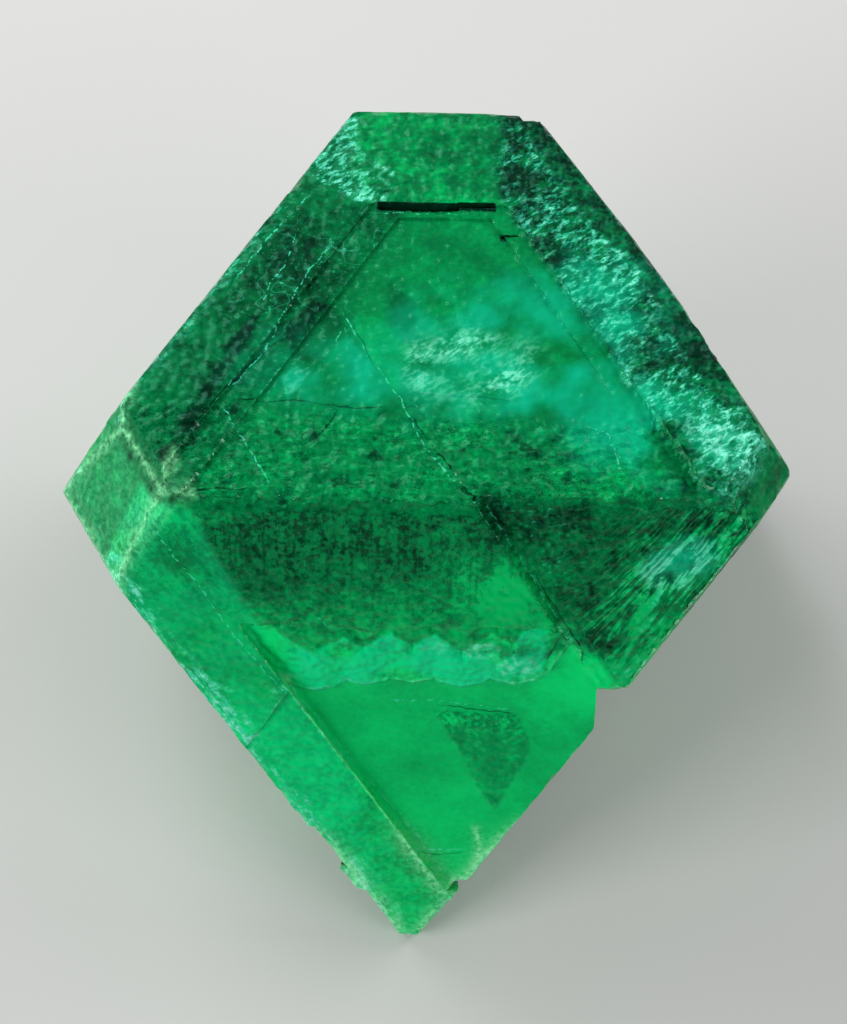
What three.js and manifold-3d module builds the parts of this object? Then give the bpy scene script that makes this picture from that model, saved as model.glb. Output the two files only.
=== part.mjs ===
// Fluorite octahedron: one grown crystal that rests on a cleavage face.
// Millimetres, +Z up. The origin is on the floor, straight below the crystal's centre.

import * as THREE from "three";
import { ConvexGeometry } from "three/addons/geometries/ConvexGeometry.js";
import { mergeVertices } from "three/addons/utils/BufferGeometryUtils.js";
import Module from "manifold-3d";

const wasm = await Module();
wasm.setup();

// How far each face stands from the crystal's centre
const restingDistance = 57.7;
const faceDistance = {
  top: 57.7,
  base: restingDistance,
  front: 60.4,
  back: 57.7,
  leftShoulder: 55.9,
  rightShoulder: 62.4,
  leftFlank: 60.9,
  rightFlank: 59,
};

// How far each corner stands from the centre, where a cube face cuts it off
const cornerDistance = { far: 74.4, near: 99.2, right: 91.6, backLeft: 91, backRight: 93 };
const leftFacetDistance = 83.6;
const leftFacetTilt = 14.7;

// The diagonal step that parts the front in a left and a right block
const blockStep = 7.1;
const blockStepLean = 2.2;
const rightBlockDrop = 2;

// The panel inside the top face's rim, in two shallow levels
const panelDrop = 0.7;
const panelFloorDrop = 1.3;
const rimLine = { far: -5.8, left: 40.5, right: 44.5 };
const floorLine = { far: -3, left: 34.5, right: 40.5 };

// The open crack under the rim, and the small notch beside it
const crackDepth = 4.5;
const crackWidth = 1.25;

// The front's left edge is a narrow band, split off along a line and leaning back a little
const leftBand = 45.4;
const bandSlope = 2.6;

// The sunken tip below the ledge; each lobe has its middle across and its foot down the front
const tipFloor = faceDistance.front - 3.4;
const ledgeCrest = 6;
const rampSlope = 15.5;
const lobeRadius = 9.5;
const lobeTurns = [-40, -14, 14, 40];
const lastTurn = 64;
const lobes = [
  { place: -20.5, foot: 13 },
  { place: -10.4, foot: 11.2 },
  { place: -0.8, foot: 10.4 },
  { place: 9, foot: 11.2 },
  { place: 19.4, foot: 10.2, turns: [...lobeTurns, lastTurn] },
];

// The crystal's own three axes: to its far, left and right corners, square to each other
const far = new THREE.Vector3(0, Math.sqrt(2 / 3), Math.sqrt(1 / 3));
const left = new THREE.Vector3(-Math.sqrt(1 / 2), -Math.sqrt(1 / 6), Math.sqrt(1 / 3));
const right = new THREE.Vector3(Math.sqrt(1 / 2), -Math.sqrt(1 / 6), Math.sqrt(1 / 3));
const near = far.clone().negate();
const backLeft = right.clone().negate();
const backRight = left.clone().negate();

// An octahedral face looks out between three corners
const between = (a, b, c) => new THREE.Vector3().add(a).add(b).add(c).normalize();
const face = {
  top: between(far, left, right),
  base: between(near, backLeft, backRight),
  front: between(near, left, right),
  back: between(far, backLeft, backRight),
  leftShoulder: between(far, left, backLeft),
  rightShoulder: between(far, right, backRight),
  leftFlank: between(near, left, backLeft),
  rightFlank: between(near, right, backRight),
};
const across = new THREE.Vector3(1, 0, 0);
const upFront = new THREE.Vector3().crossVectors(face.front, across).normalize();

// A limit keeps the side of a plane that its direction points away from
const within = (direction, distance) => ({ direction, distance });
const beyond = (direction, distance) => ({ direction: direction.clone().negate(), distance: -distance });
const past = (limit) => beyond(limit.direction, limit.distance);

// A direction that leans off another by some degrees, toward a third
function leaning(direction, toward, degrees) {
  const axis = new THREE.Vector3().crossVectors(direction, toward).normalize();
  return direction.clone().applyAxisAngle(axis, THREE.MathUtils.degToRad(degrees));
}

// A limit hinged on the line where two planes meet, leaning off the first by some degrees
function hinged(direction, distance, toward, place, degrees) {
  const share = direction.dot(toward);
  const weight = 1 / (1 - share * share);
  const onLine = direction.clone().multiplyScalar((distance - share * place) * weight);
  onLine.addScaledVector(toward, (place - share * distance) * weight);
  const turned = leaning(direction, toward, degrees);
  return within(turned, turned.dot(onLine));
}

function meetingPoint(a, b, c) {
  const rows = new THREE.Matrix3().set(...a.direction, ...b.direction, ...c.direction);
  const parallel = 1e-5;
  if (Math.abs(rows.determinant()) < parallel) return null;
  return new THREE.Vector3(a.distance, b.distance, c.distance).applyMatrix3(rows.invert());
}

function solidFrom(geometry) {
  geometry.deleteAttribute("normal");
  geometry.deleteAttribute("uv");
  const merged = mergeVertices(geometry, 1e-4);
  const vertProperties = new Float32Array(merged.attributes.position.array);
  const triVerts = new Uint32Array(merged.index.array);
  return new wasm.Manifold(new wasm.Mesh({ numProp: 3, vertProperties, triVerts }));
}

// The convex solid inside a list of limits
function convexSolid(limits) {
  const slack = 1e-5;
  const corners = [];
  for (let i = 0; i < limits.length; i += 1) {
    for (let j = i + 1; j < limits.length; j += 1) {
      for (let k = j + 1; k < limits.length; k += 1) {
        const point = meetingPoint(limits[i], limits[j], limits[k]);
        const isCorner = point && limits.every((limit) => limit.direction.dot(point) < limit.distance + slack);
        if (isCorner && corners.every((corner) => corner.distanceTo(point) > slack)) corners.push(point);
      }
    }
  }
  return solidFrom(new ConvexGeometry(corners));
}

// A piece of space to cut away: inside its limits and a box all round the crystal
const reach = 130;
const surroundings = [far, left, right, near, backLeft, backRight].map((axis) => within(axis, reach));
const chunk = (...limits) => convexSolid([...limits, ...surroundings]);

function grownCrystal() {
  const faces = Object.keys(face).map((name) => within(face[name], faceDistance[name]));
  const corners = [
    within(far, cornerDistance.far),
    within(near, cornerDistance.near),
    within(right, cornerDistance.right),
    within(backLeft, cornerDistance.backLeft),
    within(backRight, cornerDistance.backRight),
    within(leaning(left, face.leftFlank, leftFacetTilt), leftFacetDistance),
  ];
  // Growth left some faces very slightly bent
  const bends = [
    hinged(face.top, faceDistance.top, face.rightShoulder, rimLine.right, 1.2),
    hinged(face.top, faceDistance.top, face.leftShoulder, rimLine.left, 1.5),
    hinged(face.front, faceDistance.front, face.leftFlank, leftBand, bandSlope),
    hinged(face.rightShoulder, faceDistance.rightShoulder, far, 48, 2.4),
    hinged(face.rightShoulder, faceDistance.rightShoulder, right, 70, 3),
    hinged(face.rightFlank, faceDistance.rightFlank, right, 56, 1.4),
    hinged(face.rightFlank, faceDistance.rightFlank, near, 88, 4),
    hinged(face.back, faceDistance.back, face.base, 22, 1.6),
    hinged(face.leftShoulder, faceDistance.leftShoulder, backLeft, 30, 1.8),
  ];
  return convexSolid([...faces, ...corners, ...bends]);
}

// The step runs down from the ridge, a few degrees off the shoulder's direction
const leftBlock = hinged(face.rightShoulder, blockStep, near, 4.6, blockStepLean);

// The right block stands a little back on the front face and sinks gently on the top face
function rightBlock() {
  const behindStep = past(leftBlock);
  const sinking = hinged(face.top, faceDistance.top - panelFloorDrop, face.front, 36, 1.6);
  return [
    chunk(behindStep, beyond(face.front, faceDistance.front - rightBlockDrop)),
    chunk(behindStep, past(sinking), within(face.rightShoulder, rimLine.right)),
  ];
}

function topPanel() {
  const level = (line, drop) => chunk(
    beyond(face.top, faceDistance.top - drop),
    beyond(face.front, line.far),
    within(face.leftShoulder, line.left),
    within(face.rightShoulder, line.right),
  );
  return [level(rimLine, panelDrop), level(floorLine, panelFloorDrop)];
}

// Narrow open cracks, each from one place to another across the top
function rimCracks() {
  const crack = (from, to, line, depth) => chunk(
    beyond(across, from),
    within(across, to),
    beyond(face.front, line),
    within(face.front, line + crackWidth),
    beyond(face.top, faceDistance.top - depth),
  );
  return [
    crack(-9.5, 6.4, rimLine.far - 0.3, crackDepth),
    crack(6.2, 13.6, rimLine.far - 1, crackDepth),
    crack(15.4, 18.4, 0.2, crackDepth / 2),
  ];
}

// A rounded lobe of the ledge: planes that rise from its foot, turned round its middle
function lobe({ place, foot, turns = lobeTurns }) {
  const down = upFront.clone().negate();
  const middle = down.clone().multiplyScalar(foot - lobeRadius).addScaledVector(across, place);
  const sides = turns.map((turn) => {
    const outward = down.clone().applyAxisAngle(face.front, THREE.MathUtils.degToRad(turn));
    return hinged(face.front, tipFloor, outward, outward.dot(middle) + lobeRadius, rampSlope);
  });
  return chunk(...sides, beyond(face.front, tipFloor - 1));
}

// The tip broke off a little deeper than the face above it, along the lobed ledge
function sunkenTip() {
  const tip = chunk(
    beyond(face.front, tipFloor),
    within(upFront, ledgeCrest),
    within(face.leftFlank, leftBand),
    leftBlock,
  );
  return lobes.reduce((cut, kept) => cut.subtract(lobe(kept)), tip);
}

// Shallow steps left where thin plates split off; each runs along octahedral directions
function splitPlates() {
  const plate = (name, drop, ...limits) => chunk(beyond(face[name], faceDistance[name] - drop), ...limits);
  return [
    plate("front", 1.2, beyond(face.leftFlank, leftBand - 0.1), beyond(face.rightFlank, 4.5)),
    plate("leftShoulder", 1.3, within(face.top, 40), beyond(face.back, 14)),
    plate("leftShoulder", 2.6, within(face.top, 18), beyond(face.back, 33)),
    plate("rightShoulder", 1.9, within(face.top, 44), beyond(face.back, 8)),
    plate("rightShoulder", 3.4, within(face.top, 12), beyond(face.back, 30)),
    plate("rightShoulder", 0.9, beyond(face.top, 46), within(far, 33), within(face.top, 55)),
    plate("back", 1.4, beyond(face.leftShoulder, 22), within(face.top, 46)),
    plate("back", 2.9, beyond(face.leftShoulder, 37), within(face.top, 34)),
    plate("back", 1.1, beyond(face.rightShoulder, 34), beyond(face.base, 4)),
    plate("leftFlank", 1.2, beyond(near, 74)),
    plate("leftFlank", 1.6, beyond(face.base, 24), within(near, 60)),
    plate("leftFlank", 2.8, beyond(face.base, 38), within(near, 44)),
    plate("rightFlank", 1.5, beyond(face.base, 8), within(near, 52)),
    plate("rightFlank", 3, beyond(face.base, 36), within(near, 30)),
    plate("base", 1.2, beyond(face.rightFlank, 30), within(near, 26)),
    plate("base", 2.2, beyond(face.leftFlank, 47), within(near, 36)),
  ];
}

// Bites out of the edges: under the right block, at the far corner, by the tip and at hidden corners
function edgeBites() {
  return [
    chunk(beyond(across, 36.4), within(far, -42), beyond(face.top, -25)),
    chunk(beyond(face.rightShoulder, 58.2), beyond(far, 73.3)),
    chunk(beyond(face.rightFlank, 57), beyond(near, 86.4), within(near, 88.6)),
    chunk(beyond(face.rightShoulder, 59.4), beyond(right, 92), beyond(face.top, 50)),
    chunk(beyond(face.back, 55.4), beyond(backLeft, 76), beyond(face.base, 48)),
    chunk(beyond(face.leftShoulder, 53.6), beyond(left, 70), within(face.top, 30), beyond(face.top, 16)),
  ];
}

// A splinter that stands out of the lower left edge
function splinter() {
  return convexSolid([
    within(face.leftFlank, 61.2),
    beyond(face.leftFlank, 50),
    within(face.front, 58.6),
    beyond(face.front, 52),
    beyond(near, 83.4),
    within(near, 88.9),
    within(left, 45.4),
  ]);
}

function fluoriteSolid() {
  const cuts = [
    ...rightBlock(),
    ...topPanel(),
    ...rimCracks(),
    sunkenTip(),
    ...splitPlates(),
    ...edgeBites(),
  ];
  return cuts.reduce((crystal, cut) => crystal.subtract(cut), grownCrystal()).add(splinter());
}

function meshOf(solid, name, material) {
  const { vertProperties, triVerts } = solid.getMesh();
  const geometry = new THREE.BufferGeometry();
  geometry.setAttribute("position", new THREE.BufferAttribute(vertProperties, 3));
  geometry.setIndex(new THREE.BufferAttribute(triVerts, 1));
  geometry.computeVertexNormals();
  const mesh = new THREE.Mesh(geometry, material);
  mesh.name = name;
  return mesh;
}

const fluoriteGreen = new THREE.MeshStandardMaterial({ color: 0x00924c, roughness: 0.18, metalness: 0 });

const crystal = meshOf(fluoriteSolid(), "fluorite_crystal", fluoriteGreen);
crystal.position.z = restingDistance;

const group = new THREE.Group();
group.add(crystal);

export default group;
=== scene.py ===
# %% [markdown]
# # A green fluorite octahedron
# Fluorite is a soft, see-through mineral that grows as cubes and octahedra. This one is a loose
# octahedron with cut corners. It lies on one of its eight faces, and the camera looks down on it.
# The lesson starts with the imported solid, which holds every true face and step, and grows a fine
# skin on it. Then come the stone's finish, the flaws that are sealed in it, and the studio.

# %% Load the crystal
from math import cos, pi, radians, sin, sqrt

import bmesh
import bpy
import numpy as np
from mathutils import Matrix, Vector, noise
from mathutils.geometry import delaunay_2d_cdt


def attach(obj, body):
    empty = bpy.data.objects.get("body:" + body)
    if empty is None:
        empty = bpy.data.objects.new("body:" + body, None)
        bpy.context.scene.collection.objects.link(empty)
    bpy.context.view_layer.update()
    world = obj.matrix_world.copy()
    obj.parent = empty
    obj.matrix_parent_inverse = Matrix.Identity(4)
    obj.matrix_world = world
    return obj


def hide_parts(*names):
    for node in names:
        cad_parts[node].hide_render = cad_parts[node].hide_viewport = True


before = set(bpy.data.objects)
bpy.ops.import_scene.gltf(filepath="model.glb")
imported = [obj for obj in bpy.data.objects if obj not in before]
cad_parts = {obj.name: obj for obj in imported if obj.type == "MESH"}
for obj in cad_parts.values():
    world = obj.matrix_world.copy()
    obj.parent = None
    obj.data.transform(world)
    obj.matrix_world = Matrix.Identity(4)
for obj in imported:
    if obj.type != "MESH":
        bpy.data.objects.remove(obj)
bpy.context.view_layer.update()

rough_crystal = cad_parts["fluorite_crystal"]

# %% [markdown]
# ## The crystal's own directions
# Everything on a crystal follows its lattice. The three axes run to the corners, square to each
# other, and every octahedral face looks out between three corners. Measures are millimetres from
# the crystal's centre, because that is how a collector would take them with a caliper.

# %% Axes, faces and how far each face stands out
MM = 0.001
resting_distance = 57.7
centre = Vector((0, 0, resting_distance * MM))

to_far = np.array([0, sqrt(2 / 3), sqrt(1 / 3)])
to_left = np.array([-sqrt(1 / 2), -sqrt(1 / 6), sqrt(1 / 3)])
to_right = np.array([sqrt(1 / 2), -sqrt(1 / 6), sqrt(1 / 3)])


def between(*corners):
    """The direction in the middle of some others."""
    total = sum(corners)
    return total / np.linalg.norm(total)


face = {
    "top": between(to_far, to_left, to_right),
    "base": between(-to_far, -to_left, -to_right),
    "front": between(-to_far, to_left, to_right),
    "back": between(to_far, -to_left, -to_right),
    "left_shoulder": between(to_far, to_left, -to_right),
    "right_shoulder": between(to_far, to_right, -to_left),
    "left_flank": between(-to_far, to_left, -to_right),
    "right_flank": between(-to_far, to_right, -to_left),
}
face_distance = {"top": 57.7, "front": 60.4, "left_shoulder": 55.9, "right_shoulder": 62.4,
                 "left_flank": 60.9, "right_flank": 59.0, "back": 57.7, "base": resting_distance}
far_cut = 74.4
left_cut = 83.0
print("faces:", ", ".join(face))

# %% [markdown]
# ## The camera
# The crystal fills the picture in height, and it was seen through a long lens, which keeps its
# edges nearly parallel. The camera stands 57 degrees above the table and almost straight in
# front. It looks a little below the crystal's centre, so that the centre stands above the
# middle of the picture.

# %% Camera
camera_azimuth = radians(1.465)
camera_elevation = radians(56.625)
camera_distance = 0.6967
look_below = 0.00892

toward_camera = Vector((sin(camera_azimuth) * cos(camera_elevation),
                        -cos(camera_azimuth) * cos(camera_elevation),
                        sin(camera_elevation)))
picture_right = Vector((cos(camera_azimuth), sin(camera_azimuth), 0))
picture_up = toward_camera.cross(picture_right)

camera_data = bpy.data.cameras.new("camera")
camera_data.lens = 115.36
camera_data.sensor_width = 36
camera = bpy.data.objects.new("camera", camera_data)
camera.location = centre + toward_camera * camera_distance
aim = centre - picture_up * look_below
camera.rotation_euler = (aim - camera.location).to_track_quat("-Z", "Y").to_euler()
bpy.context.scene.collection.objects.link(camera)
bpy.context.scene.camera = camera
print("camera stands at", [round(value, 3) for value in camera.location])

# %% [markdown]
# ## A fine skin for the solid
# The solid has large flat faces. Their wear is fine, so the skin needs many small triangles,
# and it needs them where the camera looks. Each flat facet is filled with an even grid of
# points inside its outline, and a Delaunay triangulation joins them. Two facets that meet share
# the points on their edge, so the skin stays closed.

# %% Flat facets of the solid
fine_spacing = 0.515
coarse_spacing = 1.8
flat_within = radians(0.3)
faces_viewer = 0.3

facets = bmesh.new()
facets.from_mesh(rough_crystal.data)
bmesh.ops.remove_doubles(facets, verts=facets.verts, dist=2e-6)
bmesh.ops.dissolve_limit(facets, angle_limit=flat_within, verts=facets.verts, edges=facets.edges,
                         delimit=set())
bmesh.ops.translate(facets, verts=facets.verts, vec=-centre)
bmesh.ops.scale(facets, verts=facets.verts, vec=(1 / MM, 1 / MM, 1 / MM))
facets.normal_update()
facets.verts.index_update()
print("flat facets:", len(facets.faces))


def spacing(facet):
    """How far apart the points on a facet are: finer on the side toward the camera."""
    return fine_spacing if facet.normal.dot(toward_camera) > faces_viewer else coarse_spacing


# %% Points along the edges, shared by the facets that meet there
points = [corner.co.copy() for corner in facets.verts]
points_on_edge = {}
for edge in facets.edges:
    step = min(spacing(facet) for facet in edge.link_faces)
    count = max(1, round(edge.calc_length() / step))
    start, end = edge.verts
    first = len(points)
    points += [start.co.lerp(end.co, part / count) for part in range(1, count)]
    points_on_edge[edge] = (start.index, list(range(first, len(points))))
print("points on edges:", len(points))


# %% A grid of points inside one facet
def inside_outline(across, up, outline):
    """Which points of a grid lie inside a flat outline."""
    inside = np.zeros(len(across), bool)
    last_x, last_y = outline[-1]
    for x, y in outline:
        crosses = (y > up) != (last_y > up)
        slope = (last_x - x) / (last_y - y) if last_y != y else 0
        inside ^= crosses & (across < x + slope * (up - y))
        last_x, last_y = x, y
    return inside


def outline_distance(across, up, outline):
    """How far each point of a grid is from a flat outline."""
    nearest = np.full(len(across), 1e9)
    last_x, last_y = outline[-1]
    for x, y in outline:
        run_x, run_y = x - last_x, y - last_y
        length = max(run_x * run_x + run_y * run_y, 1e-12)
        part = np.clip(((across - last_x) * run_x + (up - last_y) * run_y) / length, 0, 1)
        nearest = np.minimum(nearest, np.hypot(across - last_x - part * run_x, up - last_y - part * run_y))
        last_x, last_y = x, y
    return nearest


def grid_inside(outline, step):
    """A grid of evenly spread points inside an outline, each row shifted by half a step."""
    low = np.min(outline, axis=0)
    high = np.max(outline, axis=0)
    across, up = np.meshgrid(np.arange(low[0], high[0] + step, step),
                             np.arange(low[1], high[1] + step, step * sqrt(3) / 2))
    across[1::2] += step / 2
    across, up = across.ravel(), up.ravel()
    keep = inside_outline(across, up, outline)
    across, up = across[keep], up[keep]
    keep = outline_distance(across, up, outline) > step / 2
    return across[keep], up[keep]


# %% Triangles over every facet
triangles = []
for facet in facets.faces:
    normal = facet.normal
    side = normal.orthogonal().normalized()
    rise = normal.cross(side)
    border = []
    for loop in facet.loops:
        first_corner, between_corners = points_on_edge[loop.edge]
        border.append(loop.vert.index)
        border += between_corners if loop.vert.index == first_corner else between_corners[::-1]
    outline = [(loop.vert.co.dot(side), loop.vert.co.dot(rise)) for loop in facet.loops]
    across, up = grid_inside(outline, spacing(facet))
    height = normal.dot(facet.verts[0].co)
    members = border + list(range(len(points), len(points) + len(across)))
    flat = [Vector((points[index].dot(side), points[index].dot(rise))) for index in border]
    flat += [Vector(place) for place in zip(across, up)]
    points += [side * x + rise * y + normal * height for x, y in zip(across, up)]
    ring = [(index, (index + 1) % len(border)) for index in range(len(border))]
    joined = delaunay_2d_cdt(flat, ring, [], 1, 1e-6)
    triangles += [[members[joined[3][corner][0]] for corner in triangle] for triangle in joined[2]]

skin = np.array(points)
print("skin:", len(skin), "points,", len(triangles), "triangles")

# %% [markdown]
# ## Edges and creases
# Much of a crystal's look sits on its edges: they are bruised and whitish outside, partly from
# wear and partly as a painted highlight, and dark cracks run in its creases. So each point of the
# skin learns how far it is from the nearest sharp edge, and from the nearest crease; near the
# crease at the tip, painted light lifts the shade.

# %% Distance of every point to the nearest edge and crease
far_off = 9.0
sharp_from = radians(14)
crease_from = radians(-25)


def distance_to_lines(places, starts, ends):
    """The distance of each place to the nearest of some straight lines, and far_off at most."""
    nearest = np.full(len(places), far_off)
    for start, end in zip(starts, ends):
        run = end - start
        around = np.abs(places - (start + end) / 2).max(axis=1) < np.abs(run).max() / 2 + far_off
        close = places[around]
        part = np.clip((close - start) @ run / (run @ run), 0, 1)
        gap = np.linalg.norm(close - start - part[:, None] * run, axis=1)
        nearest[around] = np.minimum(nearest[around], gap)
    return nearest


def lines_where(test):
    """The two ends of every edge of the solid whose bend passes a test."""
    chosen = [edge for edge in facets.edges if test(edge.calc_face_angle_signed())]
    starts = np.array([edge.verts[0].co for edge in chosen])
    ends = np.array([edge.verts[1].co for edge in chosen])
    return starts, ends


edge_starts, edge_ends = lines_where(lambda bend: bend > sharp_from)
crease_starts, crease_ends = lines_where(lambda bend: bend < crease_from)
from_edge = distance_to_lines(skin, edge_starts, edge_ends)
from_crease = distance_to_lines(skin, crease_starts, crease_ends)
print("sharp edges:", len(edge_starts), "creases:", len(crease_starts))


# %% [markdown]
# ## Where things are on the crystal
# The finish isn't the same all over. The top face has a broad rim round a sunken panel, and a
# rough band before the ridge. The front face is dark under the ridge and smooth at the tip. Each
# such place is a soft mask: one number from 0 to 1 for every point of the skin.

# %% Soft masks
def ramp(values, low, high):
    """0 up to low, 1 from high, and smooth between."""
    share = np.clip((values - low) / (high - low), 0, 1)
    return share * share * (3 - 2 * share)


def band(values, low, high, soft):
    """1 between low and high, with soft ends outside them."""
    return ramp(values, low - soft, low) * (1 - ramp(values, high, high + soft))


def fractal(places, size, octaves=3, seed=0):
    """Smooth noise between about -1 and 1; size is its broadest bump in millimetres."""
    shift = Vector((seed * 17.3, seed * 5.1, seed * 11.7))
    return np.array([noise.fractal(Vector(place) / size + shift, 1.0, 2.0, octaves) for place in places])


x, y, z = skin.T
out_of = {name: skin @ face[name] for name in face}
warp = fractal(skin, 14, 3, seed=1)
ripple = fractal(skin, 5, 3, seed=2)

top_level = face_distance["top"]
front_level = face_distance["front"]
tip_level = 57.0
on_top = ramp(out_of["top"], top_level - 5, top_level - 2.6)
on_front = ramp(out_of["front"], front_level - 6, front_level - 4.2) * (1 - on_top)
right_block = ramp(out_of["right_shoulder"] + 0.04 * (y + 4.6), 6.6, 7.6)
print("top:", round(float(on_top.mean()), 2), "front:", round(float(on_front.mean()), 2))

# %% Parts of the top face
beyond_split = ramp(-out_of["front"], 4.6, 5.8)
rim_right = on_top * ramp(out_of["right_shoulder"] + 1.2 * ripple, 43.5, 45.5)
rim_right *= 1 - beyond_split * (1 - ramp(x + 3 * warp, 9, 17))
rim_left = on_top * ramp(out_of["left_shoulder"] + 0.8 * ripple, 34.0, 36.0)
rim_left *= 1 - beyond_split * ramp(x + 3 * warp, -17, -12)
rim_far = on_top * beyond_split * (1 - rim_right)
panel = on_top * (1 - rim_right) * (1 - rim_left) * (1 - rim_far)
rough_band = on_top * ramp(-y + 2.5 * warp, 21, 28)
in_long_split = band(out_of["front"], -7.0, -4.95, 0.08) * band(x, -9.8, 13.8, 0.2)
in_short_split = band(out_of["front"], 0.1, 1.5, 0.08) * band(x, 15.2, 18.6, 0.2)
print("panel:", round(float(panel.mean()), 3), "rough band:", round(float(rough_band.mean()), 3))


# %% Parts of the front face
under_ridge = on_front * ramp(z + 6 * warp, 22, 46)
left_edge_band = on_front * ramp(out_of["left_flank"] + 0.12 * np.maximum(z - 10, 0), 43.8, 45.4)
tip_side = ramp(-out_of["left_flank"], -45.5, -45.2) * (1 - right_block) * ramp(-z, -27, -26)
sunken = out_of["front"] - tip_level
tip = on_front * (1 - ramp(sunken, 0.02, 0.12)) * tip_side
ledge = on_front * band(sunken, 0.12, 3.0, 0.1) * tip_side * ramp(z, 3, 5)
foot = on_front * band(sunken, 0.06, 0.3, 0.08) * tip_side * ramp(z, 3, 5)
band_wall = on_front * band(sunken, 0.1, 3.2, 0.1) * ramp(-z, -12, -10)
band_wall *= band(out_of["left_flank"], 44.6, 45.8, 0.3)
crest = on_front * ramp(sunken, 2.2, 3.0) * tip_side * ramp(z, 12, 14)
left_facet = ramp(skin @ to_left, left_cut - 1.5, left_cut - 0.5) * (1 - on_top)
lower_right = ramp(out_of["right_flank"], 34, 50) * right_block * on_front
sides = (1 - on_top) * (1 - on_front) * (1 - left_facet)
print("tip:", round(float(tip.mean()), 3), "under the ridge:", round(float(under_ridge.mean()), 3))


# %% Soft spots at a place on a face
def spot(mask, places, middle, radii, turn=0, soft=0.35):
    """A soft oval on a face. places holds two numbers across the face for every point."""
    turned = radians(turn)
    across, along = places[0] - middle[0], places[1] - middle[1]
    part_a = (across * cos(turned) + along * sin(turned)) / radii[0]
    part_b = (along * cos(turned) - across * sin(turned)) / radii[1]
    distance = np.sqrt(part_a ** 2 + part_b ** 2) + 0.3 * ripple + 0.2 * warp
    return mask * (1 - ramp(distance, 1 - soft, 1 + soft))


def line_distance(places, line):
    """The distance to a bent line on a face, with a sign for its side."""
    nearest = np.full(len(skin), far_off)
    for start, end in zip(line, line[1:]):
        run_x, run_y = end[0] - start[0], end[1] - start[1]
        across, along = places[0] - start[0], places[1] - start[1]
        part = np.clip((across * run_x + along * run_y) / (run_x ** 2 + run_y ** 2), 0, 1)
        gap = np.hypot(across - part * run_x, along - part * run_y)
        side = np.where(run_x * along - run_y * across < 0, -1, 1)
        closer = gap < np.abs(nearest)
        nearest[closer] = (gap * side)[closer]
    return nearest


def patch(mask, places, outline, soft=1.0):
    """A shape with slightly ragged sides on a face, from the corners of its outline."""
    inside = inside_outline(places[0], places[1], outline)
    away = outline_distance(places[0], places[1], outline)
    return mask * ramp(np.where(inside, away, -away) + 0.5 * ripple, -soft, soft)


flat_top = (x, y)
flat_front = (x, z)


def top_spot(middle, radii, turn=0, soft=0.35):
    """A soft oval on the top face."""
    return spot(on_top, flat_top, middle, radii, turn, soft)


def front_spot(middle, radii, turn=0, soft=0.35):
    """A soft oval on the front face."""
    return spot(on_front, flat_front, middle, radii, turn, soft)


def top_patch(outline, soft=1.0):
    """A ragged shape on the top face."""
    return patch(on_top, flat_top, outline, soft)


def front_patch(outline, soft=1.0):
    """A ragged shape on the front face."""
    return patch(on_front, flat_front, outline, soft)


# %% [markdown]
# ## Wear in the shape
# Wear only takes stone away, so every point moves inward. The rough band before the ridge is
# etched and pitted, the face under the ridge has a fine skin like orange peel, the lower right
# side is ribbed where plates broke off, and the edges are chipped. The tip and the panel are
# smooth.

# %% Normals of the skin before wear
corners = np.array(triangles)
tri_normals = np.cross(skin[corners[:, 1]] - skin[corners[:, 0]], skin[corners[:, 2]] - skin[corners[:, 0]])
outward = np.zeros_like(skin)
for corner in range(3):
    np.add.at(outward, corners[:, corner], tri_normals)
outward /= np.maximum(np.linalg.norm(outward, axis=1, keepdims=True), 1e-12)
print("normals:", len(outward))


# %% Depth of the wear
def stretched(places, direction, factor):
    """Places squeezed along a direction, so that noise there runs long in it."""
    along = places @ direction
    return places - np.outer(along * (1 - 1 / factor), direction)


def ridges(places, size, octaves, seed):
    """Noise with sharp valleys, between 0 and about 1."""
    return 1 - np.abs(fractal(places, size, octaves, seed)) * 1.6


up_front = np.array([0, 1 / 3, sqrt(8) / 3])
lower_right_edge = np.cross(face["front"], face["right_flank"])
lower_right_edge /= np.linalg.norm(lower_right_edge)

pits = np.clip(ridges(stretched(skin, np.array([1.0, 0, 0]), 1.8), 3.4, 3, 3), 0, 1)
peel = 0.5 + 0.5 * fractal(stretched(skin, up_front, 3), 2.2, 2, seed=4)
ribs = 0.5 + 0.5 * fractal(stretched(skin, lower_right_edge, 7), 3.0, 2, seed=5)
flakes = 0.5 + 0.5 * fractal(stretched(skin, np.array([0.6, 0.8, 0]), 2.2), 3.4, 3, seed=6)

# Millimetres taken away, by zone and kind of wear
depth = 0.06 * (1 + warp)
depth += 0.75 * rough_band * pits
depth += 0.4 * under_ridge * peel
depth += 0.8 * lower_right * ribs + 0.4 * right_block * on_front * pits
depth += 0.6 * left_facet * pits
depth += 0.45 * rim_right * flakes + 0.12 * rim_left * flakes

# The ridge and the crest over the ledge are broken in bites.
at_ridge = ramp(out_of["top"], 53, 56) * ramp(out_of["front"], 55, 58)
depth += 2.2 * at_ridge * np.clip(0.15 + fractal(skin, 5, 3, seed=7), 0, 1) * np.exp(-from_edge / 2.2)
at_crest = on_front * tip_side * band(sunken, 0.8, 4.0, 0.5) * ramp(z, 9, 12)
depth += 1.6 * at_crest * np.clip(0.3 + fractal(skin, 4, 2, seed=8), 0, 1) * np.exp(-from_edge / 2.0)

# Every edge is a little blunt.
edge_wear = np.exp(-from_edge / 0.8)
depth += edge_wear * (0.18 + 0.35 * np.clip(ripple + 0.3, 0, 1))
print("deepest wear:", round(float(depth.max()), 2), "mm")

# %% [markdown]
# A blow on an edge of fluorite takes out a small shell-shaped scoop. Each scoop here is a ball
# whose middle is outside the crystal. Points inside the ball move straight away from its middle,
# so no point leaves the crystal. Only the outer edges are struck, where two outer planes meet.

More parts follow.
